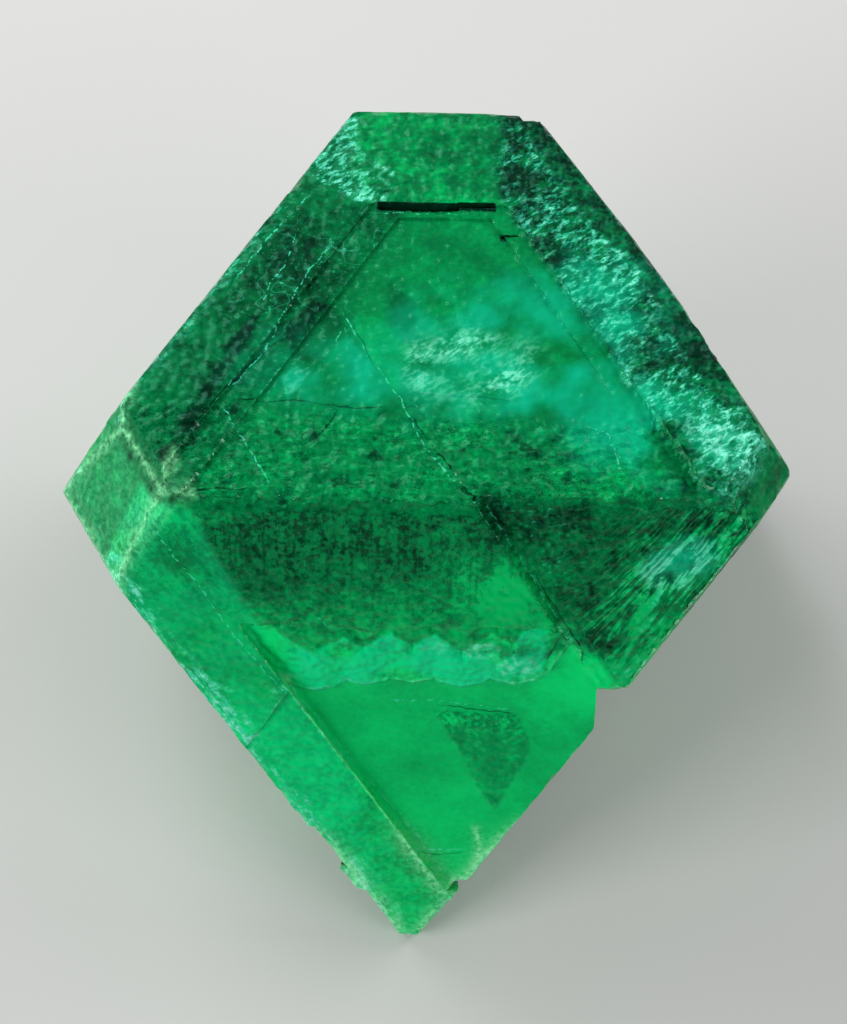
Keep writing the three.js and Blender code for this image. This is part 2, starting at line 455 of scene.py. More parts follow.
# %% Scoops along the edges
rng = np.random.default_rng(11)
scoop_count = 420
scoop_radius = (1.2, 4.5)
bite_share = (0.1, 0.28)
plane_reach = 2.6

worn = skin - outward * depth[:, None]
middles = (edge_starts + edge_ends) / 2
planes = [(face[name], distance) for name, distance in face_distance.items()]
planes += [(to_far, far_cut), (to_left, left_cut)]
planes_met = np.zeros(len(middles), int)
for direction, distance in planes:
    planes_met += np.abs(middles @ direction - distance) < plane_reach
edge_lengths = np.linalg.norm(edge_ends - edge_starts, axis=1) * (planes_met > 1)
picks = rng.choice(len(edge_lengths), scoop_count, p=edge_lengths / edge_lengths.sum())
for pick in picks:
    place = edge_starts[pick] + (edge_ends[pick] - edge_starts[pick]) * rng.random()
    radius = rng.uniform(*scoop_radius)
    bite = radius * rng.uniform(*bite_share)
    nearest = np.argmin(np.linalg.norm(skin - place, axis=1))
    middle = place + outward[nearest] * (radius - bite)
    away = worn - middle
    length = np.linalg.norm(away, axis=1)
    inward = np.einsum("ij,ij->i", away, outward) < 0
    hit = (length < radius) & inward
    worn[hit] = middle + away[hit] * (radius / np.maximum(length[hit], 1e-6))[:, None]

# The two splits stand open by a hair's breadth, so their walls come closer.
closing = 0.75
for in_split, middle_line in [(in_long_split, -5.975), (in_short_split, 0.8)]:
    between_walls = (z > 40) & (in_split > 0.5)
    worn[between_walls, 1] += closing * (out_of["front"][between_walls] - middle_line)

# Nothing stands past a true face, and the right corner is blunt.
for direction, distance in planes:
    outside = np.maximum(worn @ direction - distance, 0)
    worn -= np.outer(outside, direction)
corner_cut = np.array([1.0, 0, 0])
blunt_corner = 72.1
beyond = np.maximum(worn @ corner_cut - (blunt_corner + 0.5 * ripple), 0)
worn -= np.outer(beyond, corner_cut)

base_level = skin[:, 2].min()
rests = skin[:, 2] < base_level + 0.05
worn[rests, 2] = skin[rests, 2]
print("scoops:", scoop_count, "highest point:", round(float(worn[:, 2].max()), 2))

# %% Crystal mesh
crystal_mesh = bpy.data.meshes.new("fluorite_skin")
crystal_mesh.from_pydata((worn * MM + np.array(centre)).tolist(), [], triangles)
crystal_mesh.update()
crystal_mesh.shade_smooth()
sharp_angle = radians(32)
crystal_mesh.set_sharp_from_angle(angle=sharp_angle)
crystal = bpy.data.objects.new("fluorite_skin", crystal_mesh)
bpy.context.scene.collection.objects.link(crystal)
print("crystal mesh:", len(crystal_mesh.polygons), "triangles")


def write_mask(name, values):
    """Stores one number for every point of the skin, for the material to read."""
    layer = crystal_mesh.attributes.new(name, "FLOAT", "POINT")
    layer.data.foreach_set("value", values.astype(np.float32))


# %% [markdown]
# ## What the material is told
# The stone's colour carries painted light and shade: painted shade makes it darkest under the ridge
# and in its open splits, painted light makes it brightest at the tip, and the milky patches of the
# panel are partly milky flaws and partly a painted reflection of light from the back faces. Such
# broad things are worked out here, as one number for every point of the skin, and the material adds
# what is finer than the skin's points. A place on the top face is given by x and y, and a place on
# the front face by x and z.

# %% Patches of the top face
deep_panel = top_spot((-21, 7), (17, 13), 40, 0.5)
# The wedge is a painted reflection of light from the back faces inside the stone, the shaded patches are
# painted shade, and the milk bank is partly milky flaws and partly the same painted reflection.
wedge = top_patch([(-13, 0), (-8, -2), (-2, -9), (-4, -17), (-5, -19), (-10, -12), (-15, -3)], 0.5)
wing = top_patch([(-15, -6), (-6, -17), (-9, -22), (-22, -22), (-24, -19)], 0.5)
chip = top_patch([(-28, -16), (-23, -12), (-21, -14), (-26, -21)], 0.4)
shaded_patches = top_patch([(-27, -4), (-22, 2), (-17, 1), (-16, -3), (-21, -13), (-26, -11)], 0.5)
shaded_patches += top_patch([(-7, 7), (-2, 3), (-1, -7), (-7, -2)], 0.8)
shaded_patches += 0.4 * top_patch([(-27, 24), (-18, 23), (-24, 7), (-34, 4), (-37, 6)], 1.2)
bruised_corner = top_patch([(-15, 50), (-14, 40), (-7, 35), (-7, 28), (-13, 26), (-21, 31), (-26, 36),
                            (-20, 50)], 0.6)
milk_bank_and_reflection = top_patch([(-3, -9), (3, -4), (11, -2), (19, -7), (24, -14), (19, -21), (10, -23), (-2, -22)], 4)
rim_bruises = top_patch([(34, 20), (42, 14), (47, 2), (38, 5)], 1.0)
rim_bruises += top_patch([(52, -25), (61, -20), (67, -29), (60, -39), (53, -32)], 2.0)
outer_strip = rim_right * ramp(out_of["right_shoulder"] + 1.5 * ripple, 56, 58)
for name, patch_mask in [("milk bank", milk_bank_and_reflection), ("bruised corner", bruised_corner)]:
    print(name + ":", round(float(patch_mask.mean()), 3))

# %% Tones of the top face
middle_tone = 0.55
tone = middle_tone + 0.06 * warp

# The rims are darker than the panel, most of all toward the back.
tone -= (0.25 + 0.20 * ramp(y, -30, -4)) * rim_right
tone -= (0.24 + 0.06 * ramp(y, -40, -5)) * rim_left

# Painted shade runs as a dark groove along the panel's left border.
groove_shade = line_distance(flat_top, [(-27, 10), (-35, -6), (-42.4, -23), (-48.7, -36)])
groove_shade_width = 1.7
tone -= 0.4 * on_top * np.exp(-(groove_shade / groove_shade_width) ** 2) * np.clip(0.7 + ripple, 0, 1) * ramp(-y, -4, 10)

# The panel is mottled, with painted shade in its dark patches and a painted reflection in its
# bright wedge, and it is lighter in its front half.
tone += 0.14 * wedge + 0.05 * wing - 0.20 * shaded_patches - 0.04 * deep_panel
tone += (0.08 * ramp(y, -29, -14) * ramp(x + 0.45 * y, -16, 2) - 0.05) * panel
tone += 0.03 * top_spot((-20, -14), (15, 8), 0, 0.6) - 0.12 * top_spot((17, 9), (20, 2.2), -32, 0.8)
tone -= 0.05 * panel * ramp(y, 5, 20)
print("tone of the top:", round(float(tone[on_top > 0.5].mean()), 2))

# %% Tones of the front face
# Painted shade darkens the face under the ridge on both sides of the step, and painted light makes
# it lighter in patches and lower down.
tone -= 0.30 * front_spot((-14, 46), (36, 15), 0, 0.6)
tone -= 0.18 * front_patch([(28.3, 24.4), (36, 25), (43.3, 19.9), (36, 18.5)])
tone -= 0.30 * front_spot((40, 52), (30, 17), 10, 0.6)
tone -= 0.20 * front_spot((28, 22), (9, 16), 60, 0.5)
tone += 0.30 * front_spot((18, 34), (10, 15), 40, 0.6)
tone += 0.34 * front_spot((38, 14), (16, 8), 40, 0.6)
tone += 0.23 * front_spot((-8, 24), (26, 9), 0, 0.6) * (1 - right_block)
tone += 0.11 * on_front * ramp(-z, -8, 50)

# Painted light gathers beside the step, and painted shade leaves a dark nick at its foot.
by_step = [(13.3, 27), (13.8, 36), (16.8, 44), (26.5, 28), (24, 23)]
tone += 0.44 * patch(on_front * (1 - right_block), flat_front, by_step, 3.5)
tone -= 0.30 * front_spot((20.5, 26), (3.4, 3.2), 0, 0.4)
tone += 0.14 * lower_right * ramp(out_of["right_flank"], 50, 57)

# Painted light makes the ledge, the band above it, its foot, the step wall and the left edge
# light, and painted shade darkens a hollow above the ledge.
riser = ledge * (1 - ramp(x, 24, 27)) * ramp(x, -29, -20)
above_ledge = on_front * tip_side * band(z + 2.2 * ripple + 2 * warp, 7, 16, 2.5) * (1 - tip)
tone += 0.10 * ledge + 0.25 * ledge * (1 - ramp(x, -30, -20)) + 0.1 * foot
tone += 0.26 * above_ledge - 0.25 * front_patch([(-15, 20.8), (-11, 23.8), (-4, 23), (-5, 20.5)])
tone += 0.19 * left_edge_band - 0.06 * left_edge_band * ramp(-z, 0, 25) + 0.45 * band_wall
tone += 0.02 * left_facet

# Painted light makes the tip glow, but for a combed patch on its right, and lifts the shade along
# the crease beside it.
comb = patch(tip, flat_front, [(3.6, 2.3), (19.8, 1.5), (22.7, -3.5), (22.5, -10), (16.3, -22.7),
                               (13.7, -19.5), (9.3, -9.1)], 0.6)
tone += 0.13 * tip - 0.05 * tip * ramp(x, 18, 28) - 0.17 * comb
tone += 0.30 * tip * np.exp(-from_crease / 1.2)
print("comb:", round(float(comb.mean()), 3), "riser:", round(float(riser.mean()), 3))

# %% Tones of the sides and the back
growth = fractal(skin, 26, 3, seed=12)
tone += sides * (0.36 * growth - 0.06)
print("tone from", round(float(tone.min()), 2), "to", round(float(tone.max()), 2))

# %% Teal and milky patches
# In the middle of the panel, the teal and milky patches are partly milky flaws and partly a painted
# reflection of light from the back faces; the milk on the ledge's foot is a painted highlight on its rim.
teal = 0.9 * top_spot((17, -6), (26, 13), 20, 0.7)
teal += 0.8 * top_spot((40, -26), (18, 9), -20, 0.7)
teal += 0.25 * top_spot((-22, -14), (13, 8), 0, 0.7) + 0.32 * wing + 0.6 * chip
teal += 0.6 * riser + 0.2 * left_edge_band + 0.1 * left_facet
teal += 0.6 * front_spot((52, 41), (8, 4.5), 20, 0.5)
teal = np.clip(teal, 0, 1)

milk_and_highlight = 0.5 * milk_bank_and_reflection + 0.5 * chip + 0.3 * rim_bruises + 0.45 * bruised_corner + 0.6 * foot
milk_and_highlight += 0.5 * top_spot((-1.5, -12), (2.5, 6), 0, 0.8) + 0.5 * top_spot((8, -7), (6, 2.6), 20, 0.8)
milk_and_highlight += 0.5 * top_spot((16.5, -16), (6, 2.6), 38, 0.8) + 0.4 * top_spot((22, -8), (4, 2.4), -50, 0.8)
milk_and_highlight += 0.7 * top_spot((60, -30), (9, 5), -40, 0.6)
milk_and_highlight += 0.9 * front_spot((51, 40), (9, 4.5), 30, 0.5)
milk_and_highlight += 0.7 * front_spot((-26.5, 10.5), (3, 1.2)) + 0.5 * front_spot((3.5, 20.5), (3, 2))
milk_and_highlight += 0.8 * front_spot((13, 20), (4, 2.5)) + 0.8 * front_spot((20.5, 15), (4, 3.5))
milk_and_highlight = np.clip(milk_and_highlight, 0, 1)
print("teal:", round(float(teal.mean()), 3), "milk:", round(float(milk_and_highlight.mean()), 3))

# %% Haze and pale margins
left_rim_low = on_front * ramp(out_of["left_flank"] + 2.0 * ripple, 55, 59)
haze = left_rim_low * (0.35 + 0.65 * np.clip(0.6 + 1.6 * fractal(skin, 16, 2, seed=9), 0, 1))
# The pale margin along the tip's edges is a painted highlight.
tip_margin = on_front * np.exp(-from_edge / 1.1) * ramp(-z, 22, 36)
curl_line = [(12.7, -28.3), (13.4, -32.8), (12.9, -38.3), (9.8, -42.5)]
curl_width = 0.5
curl = np.exp(-np.abs(line_distance(flat_front, curl_line)) / curl_width) * on_front
print("haze:", round(float(haze.mean()), 3), "tip margin:", round(float(tip_margin.mean()), 3))

# %% Frost and the open splits
# The first split starts just under the top face, the second under the panel.
slits = in_long_split * ramp(-z, -57.6, -57.3) + in_short_split * ramp(-z, -56.6, -56.3)
slits = np.clip(slits * ramp(z, 40, 45), 0, 1)
middle_frost = 0.63
frost_and_glow = middle_frost + 0.08 * warp + 0.28 * sides + 0.14 * rim_right + 0.10 * rim_left
# The tip, the step wall and the ledge take more frost, so that the painted light in their colour shows.
frost_and_glow += 0.10 * rough_band + 0.1 * under_ridge + 0.38 * tip + 0.3 * band_wall + 0.35 * ledge
frost_and_glow += left_edge_band * (0.1 + 0.3 * ramp(-z, -20, 10))
frost_and_glow = np.maximum(frost_and_glow, slits)
# Painted shade darkens the inside of the open splits.
tone = tone * (1 - slits) - slits
teal = teal * (1 - slits)
print("frost:", round(float(frost_and_glow.mean()), 2))


# %% Thin lines
def line_field(places, lines):
    """The distance to the nearest of some bent lines on a face, with a sign for the side."""
    nearest = np.full(len(skin), far_off)
    for line in lines:
        gap = line_distance(places, line)
        closer = np.abs(gap) < np.abs(nearest)
        nearest[closer] = gap[closer]
    return nearest


# The light lines are partly pale cracks and partly painted highlights on the edges of steps, and the dark
# lines beside them are partly painted shade.
light_on_top = [
    [(-18.9, 15.7), (-23.6, 8.1), (-27.2, 0.1), (-31, -10.4), (-39.1, -21.8)],
    [(-26.4, 16.7), (-28.1, 10.4), (-30.3, 6.7), (-31.6, 1.7)],
    [(-24.8, 26.9), (-32.7, 15.3), (-36.9, 8.2)],
    [(-15.3, -1.5), (-11.4, -9.2), (-4.4, -20), (1.3, -32), (7.2, -39.2), (12.5, -46)],
    [(-16.1, -4.5), (-18.8, -10.6)],
    [(-38.9, -23), (-35, -29.2), (-28.7, -39.7), (-25.8, -44.4)],
    [(-8, 24.4), (7, 24.6)],
    [(34.2, -26.5), (36.3, -27.4), (38.7, -35.2)],
]
dark_on_top = [
    [(-34.5, -21.9), (-25, -21.7), (-12.9, -23), (-1.5, -22.5)],
    [(-0.8, -19.2), (8.4, -19.7), (17.1, -20.6)],
    [(-13.4, -4), (-9.6, -12)],
    [(-1, -25.5), (3.4, -32.5), (9, -39.6), (13.6, -46)],
    [(-20.3, -31.2), (-16.5, -24.1)],
    [(-10.4, -32.3), (-8.8, -29)],
    [(-44.4, -43), (-38, -42.2), (-32.6, -41.8)],
    [(-24.5, -4.5), (-33, -12.6), (-40.6, -23.5), (-46, -33)],
    [(-9.4, -35), (-4.8, -34.7)],
]
light_on_front = [
    [(-54, 56), (-49.6, 46), (-42.3, 34.5), (-33.9, 20.3), (-25.2, 8.1), (-12.2, -11.9), (1.2, -31.4),
     (6.5, -42)],
    [(-26.4, 8.9), (-33.5, -4.3)],
    [(11.9, 55), (18.9, 43.2), (27.2, 28), (36.1, 11.4)],
    [(-4.2, 4.8), (2.8, 5), (12.9, 3.8), (19, 2.9)],
    [(-19.1, 28.4), (-15.4, 23.2)],
    curl_line,
    [(0.9, -34), (9.3, -33.8)],
]
dark_on_front = [
    [(26.2, 16.5), (27.8, 20.3)],
    [(0.9, -34.8), (5, -35.3), (9.3, -34.6)],
    [(13.4, 54), (20.4, 42.2), (28.4, 27.5), (36.9, 12.4)],
    [(3, 3.9), (12.9, 2.9), (19, 2)],
]
is_top = on_top > 0.5
print("light lines:", len(light_on_top + light_on_front), "dark lines:", len(dark_on_top + dark_on_front))
pale_and_highlight_line = np.where(is_top, line_field(flat_top, light_on_top), line_field(flat_front, light_on_front))
dark_and_shade_line = np.where(is_top, line_field(flat_top, dark_on_top), line_field(flat_front, dark_on_front))

# %% Where the fine marks are
# The flecks of the rims are partly real and partly painted glints.
flecks_and_glints = rim_right + 0.9 * bruised_corner + 0.6 * rim_bruises - 0.8 * outer_strip
flecks_and_glints += 0.3 * lower_right * ramp(out_of["right_flank"], 48, 57)
flecks_and_glints += 0.7 * on_top * ramp(out_of["left_shoulder"] + 1.5 * ripple, 52.5, 55.5) * (1 - rim_far)
# The pale rim along the left facet's edges, the pale tip margin and the pale step wall are painted
# highlights; the rest of the left facet is pale skin.
pale = 0.15 * left_facet + 1.8 * ramp(skin @ to_left, 79, 81.5) * np.exp(-from_edge / 0.8)
pale += 2.4 * tip_margin + curl + 0.5 * band_wall
web = 0.45 * rim_left + 0.12 * rim_far + 0.5 * sides * ramp(-growth, 0.05, 0.4)
web += 0.7 * deep_panel * (1 - shaded_patches)
web += 0.9 * spot(on_front * right_block, flat_front, (24, 46), (6, 12))
web += 0.9 * front_spot((20.5, 26), (4, 3.6))
# The whitish bruise along every edge is partly wear and partly a painted highlight.
bruise_and_highlight = np.exp(-from_edge / 0.4) * (1 - crest) * (1 - 0.5 * at_ridge) * (1 - 0.15 * sides)
bruise_and_highlight *= np.clip(0.45 + 1.3 * ripple, 0, 1)
inner_top = on_top * (1 - ramp(out_of["left_shoulder"], 51, 53))
inner_top *= 1 - ramp(out_of["right_shoulder"], 57, 59)
bruise_and_highlight *= 1 - 0.6 * inner_top * (1 - at_ridge)
smooth = tip - 0.5 * comb + 0.75 * panel * (1 - rough_band) + 0.5 * left_edge_band + 0.55 * rim_left
smooth += 0.6 * under_ridge * (1 - right_block) + 0.6 * sides + 0.5 * left_facet
rough = rough_band + 0.6 * right_block * on_front * ramp(z, 15, 30) + at_ridge
marks = {
    "tone": tone,
    "teal": teal,
    "milk_and_highlight": milk_and_highlight,
    "frost_and_glow": frost_and_glow,
    "flecks_and_glints": np.clip(flecks_and_glints, 0, 1),
    "haze": np.clip(haze + 0.3 * sides * ramp(growth, 0.1, 0.5) + 0.2 * left_facet, 0, 1),
    "pale": np.clip(pale, 0, 1),
    "web": np.clip(web, 0, 1),
    "bruise_and_highlight": bruise_and_highlight,
    "smooth": np.clip(smooth, 0, 1),
    "rough": np.clip(rough, 0, 1),
    "hair": under_ridge * (1 - right_block) + comb * ramp(z, -6, 0),
    "ribs": lower_right + 0.3 * right_block * on_front,
    "pale_and_highlight_line": pale_and_highlight_line,
    "dark_and_shade_line": dark_and_shade_line,
}
for name, values in marks.items():
    write_mask(name, values)
print("masks written:", ", ".join(marks))

# %% Which way the fine marks run
across_slope = between(np.array([0.74, 0.67, 0]))
lower_left_edge = between(np.cross(face["front"], face["left_flank"]))
combed = skin.copy()
for zone, direction, stretch in [
    (on_top, across_slope, 2.2),
    (rough_band * panel, np.array([1.0, 0, 0]), 2.0),
    (under_ridge * (1 - right_block) + comb, up_front, 2.6),
    (left_edge_band, lower_left_edge, 4.0),
    (lower_right, lower_right_edge, 6.0),
    (sides, up_front, 3.0),
]:
    share = np.clip(zone, 0, 1)[:, None]
    combed = combed * (1 - share) + stretched(skin, direction, stretch) * share
combed_layer = crystal_mesh.attributes.new("combed", "FLOAT_VECTOR", "POINT")
combed_layer.data.foreach_set("vector", (combed * MM).astype(np.float32).ravel())
print("combed by up to", round(float(np.abs(combed - skin).max()), 1), "mm")


# %% [markdown]
# ## Shader maths in plain Python
# A material is a tree of small nodes. This class wraps one output of a node, so that sums and
# products of outputs can be written as Python, and every other node comes from one method.

# %% Wire
class Wire:
    """One output of a shader node. Arithmetic on wires adds Math nodes."""

    def __init__(self, tree, socket):
        self.tree = tree
        self.socket = socket

    def node(self, kind, settings=None, sockets=None, output=0):
        """Adds a node: its type, its settings, and then what goes in its sockets."""
        made = self.tree.nodes.new(kind)
        for name, value in (settings or {}).items():
            setattr(made, name, value)
        for place, value in (sockets or {}).items():
            if isinstance(value, Wire):
                self.tree.links.new(value.socket, made.inputs[place])
            else:
                made.inputs[place].default_value = value
        return Wire(self.tree, made.outputs[output])

    def math(self, operation, *values):
        return self.node("ShaderNodeMath", {"operation": operation}, dict(enumerate(values)))

    def __add__(self, other):
        return self.math("ADD", self, other)

    def __sub__(self, other):
        return self.math("SUBTRACT", self, other)

    def __rsub__(self, other):
        return self.math("SUBTRACT", other, self)

    def __mul__(self, other):
        return self.math("MULTIPLY", self, other)

    __radd__ = __add__
    __rmul__ = __mul__

    def above(self, low, high):
        """0 up to low, 1 from high, and smooth between."""
        return self.node("ShaderNodeMapRange", {"interpolation_type": "SMOOTHSTEP"},
                         {"Value": self, "From Min": low, "From Max": high})

    def mix(self, first, second):
        """A colour that goes from the first to the second as this wire goes from 0 to 1."""
        return self.node("ShaderNodeMix", {"data_type": "RGBA"},
                         {"Factor": self, 6: first, 7: second}, output=2)

    def mask(self, name):
        """The number that the skin holds at this point."""
        return self.node("ShaderNodeAttribute", {"attribute_name": name}, output="Fac")


def new_material(name):
    """An empty material, its tree's start and its output node."""
    material = bpy.data.materials.new(name)
    material.use_nodes = True
    tree = material.node_tree
    tree.nodes.clear()
    output = tree.nodes.new("ShaderNodeOutputMaterial")
    place = tree.nodes.new("ShaderNodeTexCoord")
    return material, Wire(tree, place.outputs["Object"]), output


# %% [markdown]
# ## The stone's finish
# On the real crystal the green is in the stone itself, and its skin adds the rest: bruises and
# flecks where it was struck, fine cracks, and an etched surface that scatters light. Whitish edges
# and flecks are partly painted highlights and glints. So the finish is two shaders in one. Glass
# lets light into a stone that swallows red, and a frosted green takes over where the skin is etched,
# and on the tip, whose glow is painted. A few noises make all the fine marks, and the masks say
# where each kind goes, painted light and shade among them.

# %% Colours of the stone
def from_screen(red, green, blue):
    """A colour as a screen shows it, in the linear numbers that a shader takes."""
    return tuple(((value / 255 + 0.055) / 1.055) ** 2.4 if value > 10 else value / 255 / 12.92
                 for value in (red, green, blue)) + (1,)


dark_green = from_screen(0, 34, 18)
stone_green = from_screen(0, 130, 68)
bright_green = from_screen(0, 205, 105)
teal_green = from_screen(8, 200, 150)
# The teal of the flecks and the bruised white also colour painted glints and highlights.
fleck_and_highlight_teal = from_screen(62, 198, 160)
pale_green = from_screen(130, 225, 160)
bruise_and_highlight_white = from_screen(140, 232, 206)
print("stone green:", [round(value, 3) for value in stone_green])


# %% Fine marks of the stone
crystal_paint, place, output = new_material("fluorite")
tree = crystal_paint.node_tree
cloud = place.node("ShaderNodeTexNoise", {}, {"Vector": place, "Scale": 70, "Detail": 2, "Roughness": 0.6})
grain = place.node("ShaderNodeTexNoise", {}, {"Vector": place, "Scale": 900, "Detail": 2, "Roughness": 0.65})
curls = place.node("ShaderNodeTexNoise", {}, {"Vector": place, "Scale": 270, "Detail": 2, "Roughness": 0.64})
combed_place = place.node("ShaderNodeAttribute", {"attribute_name": "combed"}, output="Vector")
streaks = place.node("ShaderNodeTexNoise", {}, {"Vector": combed_place, "Scale": 800, "Detail": 3,
                                                "Roughness": 0.74})


def thin_line(field, middle, width):
    """1 on the thin line where a field passes through a value, 0 off it."""
    gap = field - middle
    return 1 - gap.math("ABSOLUTE", gap).above(0, width)


# Thin lines where the masks put them, with a small wobble: the pale ones partly painted
# highlights on the edges of steps, the dark ones partly painted shade beside them
wobble = (curls - 0.5) * 1.6
line_width = 0.26
pale_and_highlight_lines = thin_line(place.mask("pale_and_highlight_line") + wobble, 0, line_width) * grain.above(0.42, 0.6)
dark_and_shade_lines = thin_line(place.mask("dark_and_shade_line") + wobble, 0, line_width) * cloud.above(0.36, 0.52)

# Cracks and pits of the rough places, and the web of light cracks
cracks = thin_line(streaks, 0.48, 0.02) + thin_line(streaks, 0.55, 0.016)
cracks = cracks * cloud.above(0.4, 0.54) * place.mask("rough")
pit_marks = (1 - curls).above(0.58, 0.66) * place.mask("rough")
light_web = (thin_line(cloud, 0.5, 0.008) + thin_line(curls, 0.42, 0.012) * 0.6) * place.mask("web")
speckle = grain.above(0.6, 0.68) * place.mask("web")

# Flecks in clusters, partly painted glints; haze; pale skin, partly painted edge highlights; and
# bruised edges, partly painted highlights
cluster = cloud.above(0.42, 0.56) * 0.4 + 0.35 * curls.above(0.42, 0.58) + 0.25
smear = streaks.above(0.4, 0.6) * cloud.above(0.4, 0.55) * place.mask("flecks_and_glints")
fleck_and_glint = streaks.above(0.5, 0.555) * cluster * place.mask("flecks_and_glints")
hazy = place.mask("haze") * streaks.above(0.38, 0.66)
pale_skin_and_highlight = place.mask("pale") * (grain * 0.6 + streaks * 0.4).above(0.3, 0.68)
edge_bruise_and_highlight = grain.above(0.38, 0.6) * place.mask("bruise_and_highlight")

# Fine hair under the ridge, ribs at the lower right, and milk, partly painted highlights and
# reflections
hair = ((streaks * 0.6 + grain * 0.4).above(0.42, 0.58) - 0.4) * place.mask("hair")
rib = (streaks.above(0.42, 0.6) - 0.3) * place.mask("ribs")
milky_and_highlight = place.mask("milk_and_highlight") * (curls * 0.7 + streaks * 0.3).above(0.38, 0.56)
print("fine marks:", len(tree.nodes), "nodes")

# %% Crystal material
# Mottling is weak where the stone is smooth.
smooth_mask = place.mask("smooth")
mottle = (grain - 0.5) * (1 - smooth_mask * 0.75) * 0.8 + (cloud - 0.5) * (1 - smooth_mask * 0.7) * 0.6
mottle = mottle + (curls - 0.5) * (1 - smooth_mask * 0.85) * (1 - place.mask("rough") * 0.4)
# The tone mask brings in the painted light and shade worked out on the skin.
shade = place.mask("tone") + mottle - cracks * 0.62 - pit_marks * 0.18 - dark_and_shade_lines * 0.5
shade = shade + hair * 0.26 + rib * 0.5

# The stone goes from dark to bright green with its painted light and shade, then to teal, pale
# green and white where it is bruised, flecked or painted with highlights and glints.
stone = shade.above(-0.05, 0.5).mix(dark_green, stone_green)
stone = shade.above(0.4, 1.0).mix(stone, bright_green)
stone = (place.mask("teal") * cloud.above(0.33, 0.6) * 0.9 + smear * 0.2).mix(stone, teal_green)
teal_part = (fleck_and_glint * 0.62 + light_web * 0.35 + speckle * 0.3 + pale_and_highlight_lines * 0.9 + milky_and_highlight * 0.5 + hazy * 0.85
             + rib * grain.above(0.46, 0.66) * 0.5).above(0.0, 1.0)
stone = teal_part.mix(stone, fleck_and_highlight_teal)
stone = (pale_skin_and_highlight * 1.2).mix(stone, pale_green)
white_part = (edge_bruise_and_highlight * 0.6 + milky_and_highlight * streaks.above(0.42, 0.58) * 0.5
              + hazy * grain.above(0.44, 0.62) * 0.7
              + fleck_and_glint * streaks.above(0.56, 0.62) * grain.above(0.42, 0.56) * 0.6)
stone = white_part.above(0.0, 1.0).mix(stone, bruise_and_highlight_white)

# A fine relief that the skin is too coarse for
ripples = place.node("ShaderNodeTexNoise", {}, {"Vector": place, "Scale": 560, "Detail": 0})
bump_height = ripples * (1 - smooth_mask * 0.85)
bump = place.node("ShaderNodeBump", {}, {"Height": bump_height, "Strength": 0.6, "Distance": 0.0016})
sheen = (0.08, 1.0, 0.62, 1)
fluorite_ior = 1.434

# Clear stone and frosted skin, mixed by the frost and glow mask and the light marks, which include
# painted highlights and glints; the glass takes its tint from the same painted light and shade
glass = place.node("ShaderNodeBsdfPrincipled", {}, {
    "Base Color": shade.above(-0.15, 0.75).mix(from_screen(0, 92, 52), from_screen(90, 255, 205)),
    "Roughness": 0.28 - smooth_mask * 0.2,
    "IOR": fluorite_ior,
    "Transmission Weight": 1.0,
    "Specular Tint": sheen,
    "Normal": bump,
})
frosted = place.node("ShaderNodeBsdfPrincipled", {}, {
    "Base Color": stone,
    "Roughness": 0.45,
    "IOR": fluorite_ior,
    "Specular IOR Level": 0.2,
    "Specular Tint": sheen,
    "Normal": bump,
})
surface = place.node("ShaderNodeMixShader", {}, {0: place.mask("frost_and_glow") + (teal_part + white_part) * 0.4,
                                                  1: glass, 2: frosted})
tree.links.new(surface.socket, output.inputs["Surface"])

# The stone swallows red light.
body = place.node("ShaderNodeVolumeAbsorption", {}, {"Color": (0.0, 0.925, 0.81, 1), "Density": 60.0})
tree.links.new(body.socket, output.inputs["Volume"])
crystal_mesh.materials.append(crystal_paint)
print("crystal material:", len(tree.nodes), "nodes")

# %% [markdown]
# ## Flaws sealed in the stone
# Fluorite splits along its octahedral planes, and many of its splits have healed. Inside, they
# show as pale veils that follow those planes, each made of countless tiny bubbles. They are thin
# sheets, so each is one wavy mesh, and its material is see-through with pale flecks. Milky
# wisps hang between them in small clouds of slivers.

# %% Veil material
veil_paint, veil_place, veil_output = new_material("healed_split")
bubbles = veil_place.node("ShaderNodeTexNoise", {}, {"Vector": veil_place, "Scale": 160, "Detail": 4,
                                                     "Roughness": 0.7})
patches = veil_place.node("ShaderNodeTexNoise", {}, {"Vector": veil_place, "Scale": 35, "Detail": 2})
veil_clear = veil_place.node("ShaderNodeBsdfTransparent", {}, {"Color": (0.96, 1, 0.98, 1)})
veil_pale = veil_place.node("ShaderNodeBsdfPrincipled", {}, {
    "Base Color": from_screen(190, 250, 225), "Roughness": 0.5})
veil = veil_place.node("ShaderNodeMixShader", {}, {
    0: bubbles.above(0.5, 0.66) * patches.above(0.42, 0.6) * 0.85, 1: veil_clear, 2: veil_pale})
veil_paint.node_tree.links.new(veil.socket, veil_output.inputs["Surface"])
print("veil material:", len(veil_paint.node_tree.nodes), "nodes")


# %% Veils and slivers
def inner_piece(name, places, faces):
    """A mesh of something sealed in the stone, from places in millimetres."""
    mesh = bpy.data.meshes.new(name)
    mesh.from_pydata([Vector(place) * MM + centre for place in places], [], faces)
    mesh.shade_smooth()
    mesh.materials.append(veil_paint)
    piece = bpy.data.objects.new(name, mesh)
    bpy.context.scene.collection.objects.link(piece)
    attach(piece, "root")
    return piece


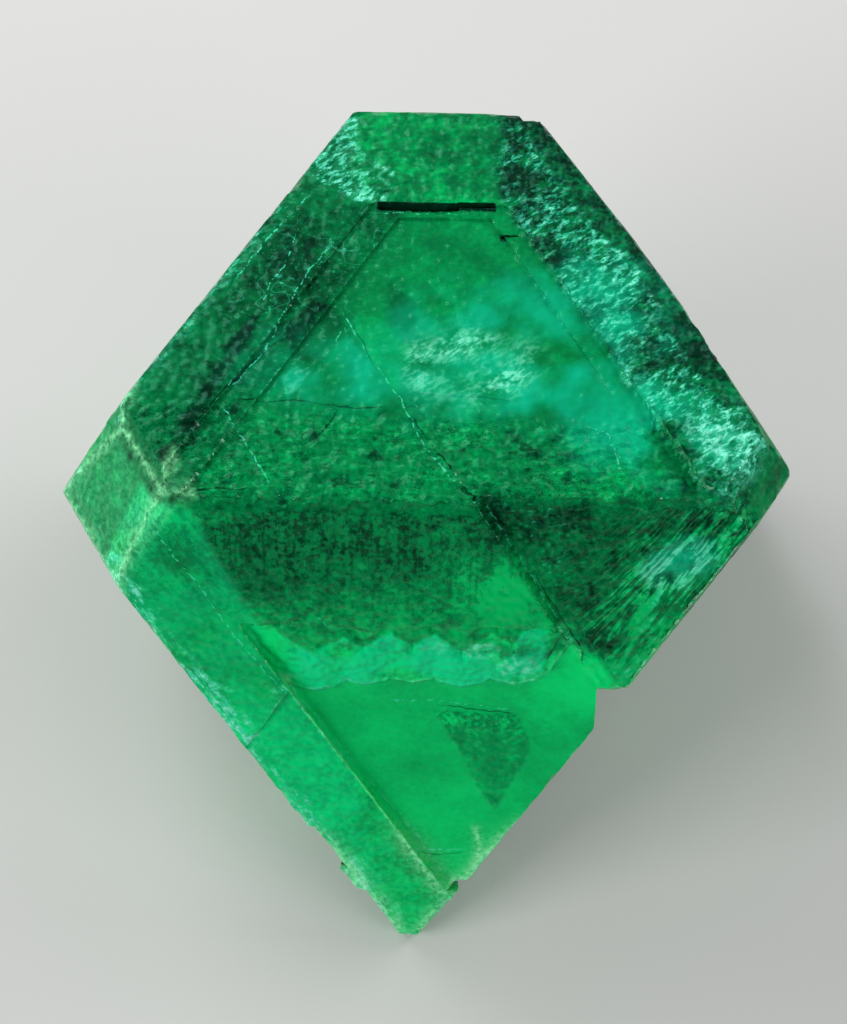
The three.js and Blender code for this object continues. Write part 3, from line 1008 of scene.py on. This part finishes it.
def veil_sheet(name, direction, middle, width, length, turn):
    """A wavy sheet through a middle, square to a direction, with a ragged oval outline."""
    side = np.cross(direction, [0, 0, 1.0])
    if np.linalg.norm(side) < 0.1:
        side = np.array([1.0, 0, 0])
    side /= np.linalg.norm(side)
    up = np.cross(direction, side)
    side, up = side * cos(turn) + up * sin(turn), up * cos(turn) - side * sin(turn)
    rings, around = 14, 40
    places = [np.array(middle, float)]
    for ring in range(1, rings + 1):
        for step in range(around):
            angle = 2 * pi * step / around
            ragged = 1 + 0.22 * noise.noise(Vector((cos(angle) * 1.7, sin(angle) * 1.7, width)))
            reach = ring / rings * ragged
            flat = np.array(middle) + side * cos(angle) * reach * width + up * sin(angle) * reach * length
            places.append(flat + direction * 1.2 * noise.noise(Vector(flat) / 9))
    faces = [(0, 1 + step, 1 + (step + 1) % around) for step in range(around)]
    for ring in range(rings - 1):
        inner, outer = 1 + ring * around, 1 + (ring + 1) * around
        for step in range(around):
            following = (step + 1) % around
            faces.append((inner + step, outer + step, outer + following, inner + following))
    return inner_piece(name, places, faces)


veils = [
    veil_sheet("veil_under_panel", face["top"], (14, -2, 47), 24, 13, 0.3),
    veil_sheet("veil_left_wing", face["top"], (-20, -12, 44), 15, 9, 0.1),
    veil_sheet("veil_step", face["right_shoulder"], (2, -18, 22), 20, 26, 0.2),
    veil_sheet("veil_front", face["front"], (-14, -38, 12), 22, 14, 0.0),
    veil_sheet("veil_left_shoulder", face["left_shoulder"], (-30, -2, 26), 17, 20, 0.4),
    veil_sheet("veil_back", face["back"], (6, 30, 4), 26, 18, 0.2),
    veil_sheet("veil_deep", face["base"], (0, -6, -22), 30, 22, 0.5),
]
print("veils:", len(veils))


# %% Milky wisps
def wisp_cloud(name, middle, spread, count, longest):
    """A cloud of thin slivers, all drawn out along the same slope."""
    places, faces = [], []
    for _ in range(count):
        start = np.array(middle) + np.clip(rng.normal(0, 1, 3), -2, 2) * np.array(spread)
        if any(start @ direction > distance - longest for direction, distance in planes):
            continue
        length = longest * rng.uniform(0.3, 1)
        thin = length * rng.uniform(0.12, 0.3)
        lean = across_slope + rng.normal(0, 0.25, 3)
        lean /= np.linalg.norm(lean)
        broad = np.cross(lean, rng.normal(0, 0.5, 3) + np.array([0, 0, 1.0]))
        broad /= np.linalg.norm(broad)
        first = len(places)
        places += [start - lean * length / 2, start + broad * thin / 2, start + lean * length / 2,
                   start - broad * thin / 2]
        faces += [(first, first + 1, first + 2), (first, first + 2, first + 3)]
    return inner_piece(name, places, faces)


wisps = [
    wisp_cloud("wisps_under_panel", (14, -8, 49), (12, 6, 2.5), 500, 5),
    wisp_cloud("wisps_right", (40, -22, 46), (10, 6, 3), 300, 5),
    wisp_cloud("wisps_left", (-22, -14, 46), (8, 4, 3), 200, 4),
    wisp_cloud("wisps_in_rim", (38, 4, 46), (5, 10, 3), 300, 4),
    wisp_cloud("wisps_at_tip", (-12, -62, -14), (8, 4, 8), 200, 4),
]
print("wisp clouds:", len(wisps))

# %% [markdown]
# ## The studio
# A plain pale table, and soft light from large panels. The stone is lit from behind and from
# the left, as a collector holds a crystal to a window. Its glowing tip and the dark face under its
# ridge come partly from this light and partly from painted light and shade in its colour.

# %% Floor
floor_mesh = bpy.data.meshes.new("floor")
floor_half = 3.0
floor_corners = [(-floor_half, -floor_half, 0), (floor_half, -floor_half, 0),
                 (floor_half, floor_half, 0), (-floor_half, floor_half, 0)]
floor_mesh.from_pydata(floor_corners, [], [(0, 1, 2, 3)])
floor = bpy.data.objects.new("floor", floor_mesh)
floor.location.z = -0.0002
bpy.context.scene.collection.objects.link(floor)
floor_paint, floor_place, floor_output = new_material("pale_table")
floor_finish = floor_place.node("ShaderNodeBsdfPrincipled", {}, {
    "Base Color": (0.52, 0.52, 0.51, 1), "Roughness": 0.8})
floor_paint.node_tree.links.new(floor_finish.socket, floor_output.inputs["Surface"])
floor_mesh.materials.append(floor_paint)
print("floor:", 2 * floor_half, "metres across")


# %% Lights
def light_panel(name, azimuth, elevation, distance, size, power):
    """A soft square light that looks at the crystal. Azimuth 0 is in front, 90 on the right."""
    data = bpy.data.lights.new(name, "AREA")
    data.size = size
    data.energy = power
    light = bpy.data.objects.new(name, data)
    direction = Vector((sin(radians(azimuth)) * cos(radians(elevation)),
                        -cos(radians(azimuth)) * cos(radians(elevation)),
                        sin(radians(elevation))))
    light.location = centre + direction * distance
    light.rotation_euler = (-direction).to_track_quat("-Z", "Y").to_euler()
    bpy.context.scene.collection.objects.link(light)
    return light


light_panel("window_left", -135, 38, 1.2, 0.8, 12)
light_panel("window_right", 120, 34, 1.3, 0.7, 8.5)
light_panel("front_left", -60, 26, 1.4, 0.8, 13.5)
light_panel("front_right", 55, 24, 1.5, 0.8, 6.5)

world = bpy.data.worlds.new("studio")
world.use_nodes = True
world.node_tree.nodes["Background"].inputs["Color"].default_value = (1, 1, 1, 1)
world.node_tree.nodes["Background"].inputs["Strength"].default_value = 0.24
bpy.context.scene.world = world
bpy.context.scene.view_settings.view_transform = "Standard"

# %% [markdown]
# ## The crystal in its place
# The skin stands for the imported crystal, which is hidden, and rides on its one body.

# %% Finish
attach(crystal, "root")
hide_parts("fluorite_crystal")
